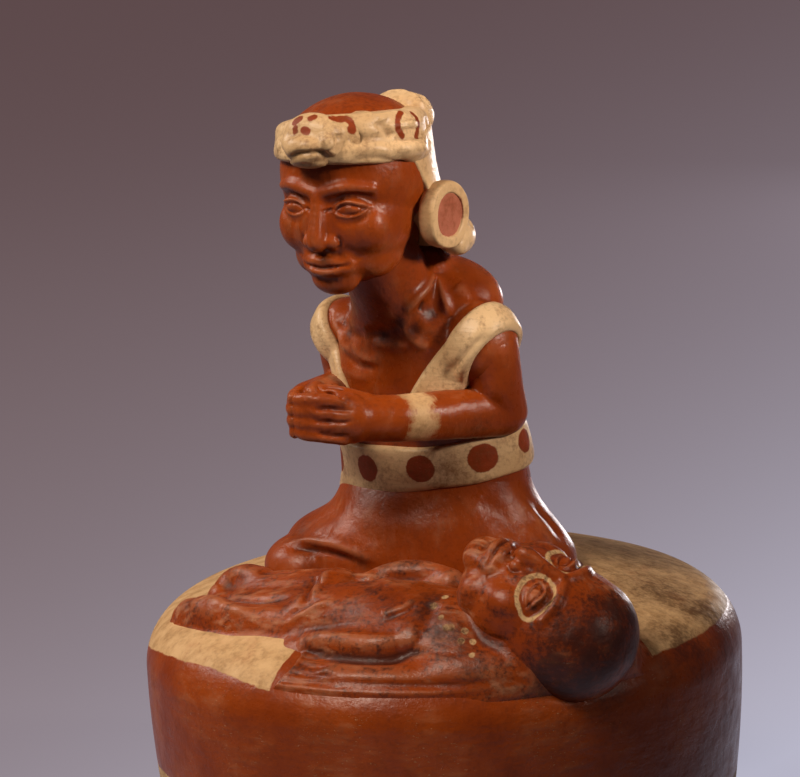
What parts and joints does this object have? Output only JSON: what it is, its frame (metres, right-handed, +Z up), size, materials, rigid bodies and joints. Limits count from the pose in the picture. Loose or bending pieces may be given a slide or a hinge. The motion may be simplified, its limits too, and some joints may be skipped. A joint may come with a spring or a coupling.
{
  "type": "figural ceramic bottle",
  "caption": "Burnished ceramic bottle: a drum chamber with a seated healer bending over a lying patient, and a tubular spout behind.",
  "frame": {"origin": "middle of the resting face of the drum chamber", "axes": "+Z up, -Y the side that the healer faces, +X the healer's left, where the patient's head lies"},
  "size_m": [0.163, 0.163, 0.221],
  "materials": {
    "red_slip": "burnished red-brown slip over fired clay",
    "cream_slip": "burnished cream slip over fired clay"
  },
  "bodies": {
    "root": {"chamber_floor": "cream_slip", "chamber_wall": "red_slip", "chamber_deck": "cream_slip", "spout_tube": "red_slip", "healer_lap": "red_slip", "healer_torso": "red_slip", "healer_belt": "cream_slip", "sash_left": "cream_slip", "sash_right": "cream_slip", "left_arm": "red_slip", "right_arm": "red_slip", "left_hand": "red_slip", "right_hand": "red_slip", "healer_head": "red_slip", "headband": "cream_slip", "headband_beast": "cream_slip", "crown_knot": "cream_slip", "headcloth": "cream_slip", "ear_spool_left": "cream_slip", "ear_spool_right": "cream_slip", "patient_head": "red_slip", "patient_torso": "red_slip", "patient_left_leg": "red_slip", "patient_right_leg": "red_slip", "patient_left_arm": "red_slip", "patient_right_arm": "red_slip"}
  },
  "joints": []
}
